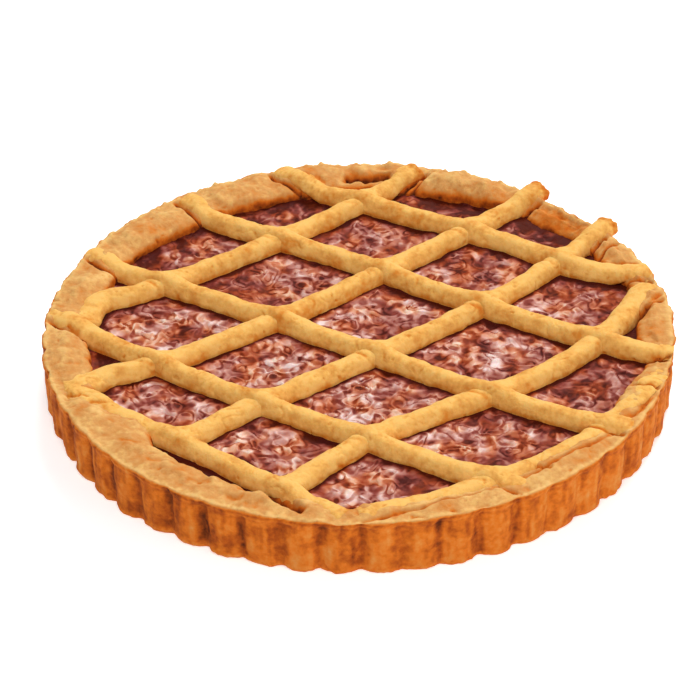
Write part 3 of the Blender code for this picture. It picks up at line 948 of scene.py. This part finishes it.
def cookedJam(name, settings):
    # Apricot jam, boiled dark and baked again. Ribbons of pulp follow the mesh's folds with shreds between
    # them, wet and pale pink on their backs, partly the pulp's own colour and partly painted highlight, over
    # a clear red-brown jelly. Some patches are more amber, and painted shade comes in with the pulp
    # attribute.
    material, tree = newMaterial(name)
    place = addNode(tree, "ShaderNodeTexCoord").outputs["Object"]
    folds = addNode(tree, "ShaderNodeAttribute", attribute_name="folds").outputs["Fac"]
    pulp = addNode(tree, "ShaderNodeAttribute", attribute_name="pulp").outputs["Fac"]
    stray = addNode(tree, "ShaderNodeTexNoise", {"Vector": place},
                    {"Scale": 1 / (settings["stray"] * mm), "Detail": 0.0})
    turns = addNode(tree, "ShaderNodeMath", {0: stray.outputs["Fac"], 2: folds}, {1: 0.5},
                    operation="MULTIPLY_ADD")
    turns = addNode(tree, "ShaderNodeMath", {0: turns.outputs[0]}, {1: math.tau}, operation="MULTIPLY")
    wave = addNode(tree, "ShaderNodeMath", {0: turns.outputs[0]}, operation="COSINE")
    ribbon = addNode(tree, "ShaderNodeMapRange", {"Value": wave.outputs[0]},
                     {"From Min": -1.0, "From Max": 0.95, "To Max": 1.15}, interpolation_type="SMOOTHSTEP")
    torn = addNode(tree, "ShaderNodeTexNoise", {"Vector": place},
                   {"Scale": 1 / (settings["shreds"] * mm), "Detail": 0.0, "Distortion": 1.1})
    shred = addNode(tree, "ShaderNodeMapRange", {"Value": torn.outputs["Fac"]},
                    {"From Min": 0.36, "From Max": 0.64, "To Max": 0.85}, interpolation_type="SMOOTHSTEP")
    strands = addNode(tree, "ShaderNodeMath", {0: ribbon.outputs["Result"], 1: shred.outputs["Result"]},
                      operation="ADD")
    heaped = addNode(tree, "ShaderNodeMath", {0: strands.outputs[0], 1: pulp},
                     operation="MULTIPLY").outputs[0]
    pale = addNode(tree, "ShaderNodeMath", {0: pulp}, {1: settings["pulp"]}, operation="MULTIPLY")
    pale = addNode(tree, "ShaderNodeMath", {0: heaped, 2: pale.outputs[0]}, {1: settings["heaped"]},
                   operation="MULTIPLY_ADD").outputs[0]
    pale = layPatterns(tree, place, pale, settings["patterns"], 0.5)
    pink = addNode(tree, "ShaderNodeValToRGB", {"Fac": pale}, stops=settings["colours"])
    amber = addNode(tree, "ShaderNodeValToRGB", {"Fac": pale}, stops=settings["amber"])
    spots = addNode(tree, "ShaderNodeTexNoise", {"Vector": place},
                    {"Scale": 1 / (settings["spots"] * mm), "Detail": 1.0, "Roughness": 0.5})
    share = addNode(tree, "ShaderNodeMapRange", {"Value": spots.outputs["Fac"]},
                    {"From Min": 0.42, "From Max": 0.6})
    colour = addNode(
        tree, "ShaderNodeMix",
        {"Factor": share.outputs["Result"], "A": pink.outputs["Color"], "B": amber.outputs["Color"]},
        data_type="RGBA",
    )
    relief = addNode(tree, "ShaderNodeBump", {"Height": heaped},
                     {"Strength": 0.5, "Distance": settings["relief"] * mm})
    dull = addNode(tree, "ShaderNodeMapRange", {"Value": heaped},
                   {"From Min": 0.2, "From Max": 1.4, "To Min": 0.5, "To Max": 0.4})
    wet = addNode(tree, "ShaderNodeMapRange", {"Value": heaped},
                  {"From Min": 0.3, "From Max": 1.5, "To Min": 0.03, "To Max": 0.22})
    shader = addNode(
        tree, "ShaderNodeBsdfPrincipled",
        {"Base Color": colour.outputs["Result"], "Normal": relief.outputs["Normal"],
         "Roughness": dull.outputs["Result"], "Specular IOR Level": wet.outputs["Result"]},
        {"IOR": 1.42, "Subsurface Weight": 0.15, "Subsurface Radius": (1.0, 0.3, 0.1),
         "Subsurface Scale": 2.0 * mm},
    )
    addNode(tree, "ShaderNodeOutputMaterial", {"Surface": shader.outputs["BSDF"]})
    return material


# the floor, and how bright it and the world shine
stage = dict(size=4.0, drop=0.0002, colour="F6F8FA", glow=0.38, world=0.32)


def buildStage():
    bm = bmesh.new()
    bmesh.ops.create_grid(bm, x_segments=2, y_segments=2, size=stage["size"])
    mesh = bpy.data.meshes.new("floor")
    bm.to_mesh(mesh)
    bm.free()
    floor = bpy.data.objects.new("floor", mesh)
    floor.location.z = -stage["drop"]
    # matt white paper, kept pale by a faint glow
    material, tree = newMaterial("whitePaper")
    paper = linear(stage["colour"])
    shader = addNode(
        tree, "ShaderNodeBsdfPrincipled", values={
            "Base Color": paper, "Roughness": 0.9, "Emission Color": (1, 1, 1, 1),
            "Emission Strength": stage["glow"],
        },
    )
    addNode(tree, "ShaderNodeOutputMaterial", {"Surface": shader.outputs["BSDF"]})
    mesh.materials.append(material)
    bpy.context.scene.collection.objects.link(floor)


lights = [
    dict(name="backSoftbox", place=(0.52, 1.96, 1.92), size=(1.4, 0.8), power=64, colour=(1.0, 0.965, 0.92)),
    dict(name="rightSoftbox", place=(1.25, -0.85, 0.5), size=(0.9, 0.6), power=7, colour=(1.0, 0.97, 0.93)),
    dict(name="frontFill", place=(-0.15, -1.15, 1.45), size=(1.0, 0.8), power=16, colour=(1.0, 0.98, 0.95)),
]


def buildLights():
    for settings in lights:
        data = bpy.data.lights.new(settings["name"], "AREA")
        data.shape = "RECTANGLE"
        data.size, data.size_y = settings["size"]
        data.energy = settings["power"]
        data.color = settings["colour"]
        lamp = bpy.data.objects.new(settings["name"], data)
        lamp.location = settings["place"]
        lamp.rotation_euler = (-lamp.location).to_track_quat("-Z", "Y").to_euler()
        bpy.context.scene.collection.objects.link(lamp)
    world = bpy.data.worlds.new("softStudio")
    world.use_nodes = True
    background = world.node_tree.nodes["Background"]
    background.inputs["Color"].default_value = (1, 1, 1, 1)
    background.inputs["Strength"].default_value = stage["world"]
    bpy.context.scene.world = world
    bpy.context.scene.view_settings.view_transform = "Standard"


camera = dict(elevation=35.163, distance=1.56, focal=191.0, target=(-0.00354, 0.02255, 0.0), roll=-0.563)


def buildCamera():
    tilt, roll = math.radians(camera["elevation"]), math.radians(camera["roll"])
    back = Vector((0, -math.cos(tilt), math.sin(tilt)))
    across = Vector((1, 0, 0))
    up = back.cross(across)
    side = across * math.cos(roll) + up * math.sin(roll)
    upright = up * math.cos(roll) - across * math.sin(roll)
    data = bpy.data.cameras.new("camera")
    data.lens = camera["focal"]
    data.sensor_width = 36
    viewer = bpy.data.objects.new("camera", data)
    turn = Matrix((side, upright, back)).transposed().to_4x4()
    viewer.matrix_world = Matrix.Translation(Vector(camera["target"]) + back * camera["distance"]) @ turn
    bpy.context.scene.collection.objects.link(viewer)
    bpy.context.scene.camera = viewer


buildCamera()
buildLights()
buildStage()
print("camera, lights and floor set")
buildShell(bakedShortcrust("bakedShortcrust", shellDough))
latticeDough = bakedShortcrust("bakedLatticeDough", stripDough)
for strip in strips:
    buildStrip(strip, latticeDough)
buildJam(cookedJam("cookedApricotJam", apricotJam))
